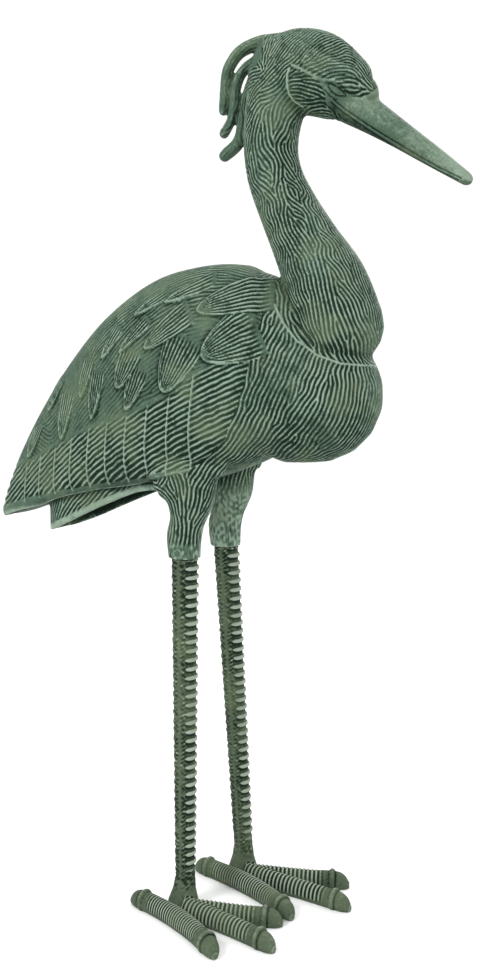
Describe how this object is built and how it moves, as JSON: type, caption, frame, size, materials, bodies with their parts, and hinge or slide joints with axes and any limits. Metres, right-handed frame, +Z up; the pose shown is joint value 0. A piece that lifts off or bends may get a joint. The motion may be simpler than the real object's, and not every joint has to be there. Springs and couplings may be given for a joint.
{
  "type": "heron garden statue",
  "caption": "Standing heron statue in verdigris cast metal, head high with a curved crest, folded wings, ringed legs and flat-soled feet; stands free in a garden.",
  "frame": {"origin": "on the ground, under the centre of the statue's bounding box", "axes": "+X the way the bird faces, +Y its left side, +Z up"},
  "size_m": [0.5648, 0.2114, 0.9274],
  "materials": {
    "verdigris_body": "carved strands, light grey-green ridges over near-black green grooves, matt",
    "verdigris_legs": "raised light rings over dark pebbled green, matt",
    "verdigris_pins": "smooth verdigris, matt"
  },
  "bodies": {
    "root": {"body": "verdigris_body", "right_leg": "verdigris_legs", "left_leg": "verdigris_legs", "right_leg_pin": "verdigris_pins", "left_leg_pin": "verdigris_pins"}
  },
  "joints": []
}
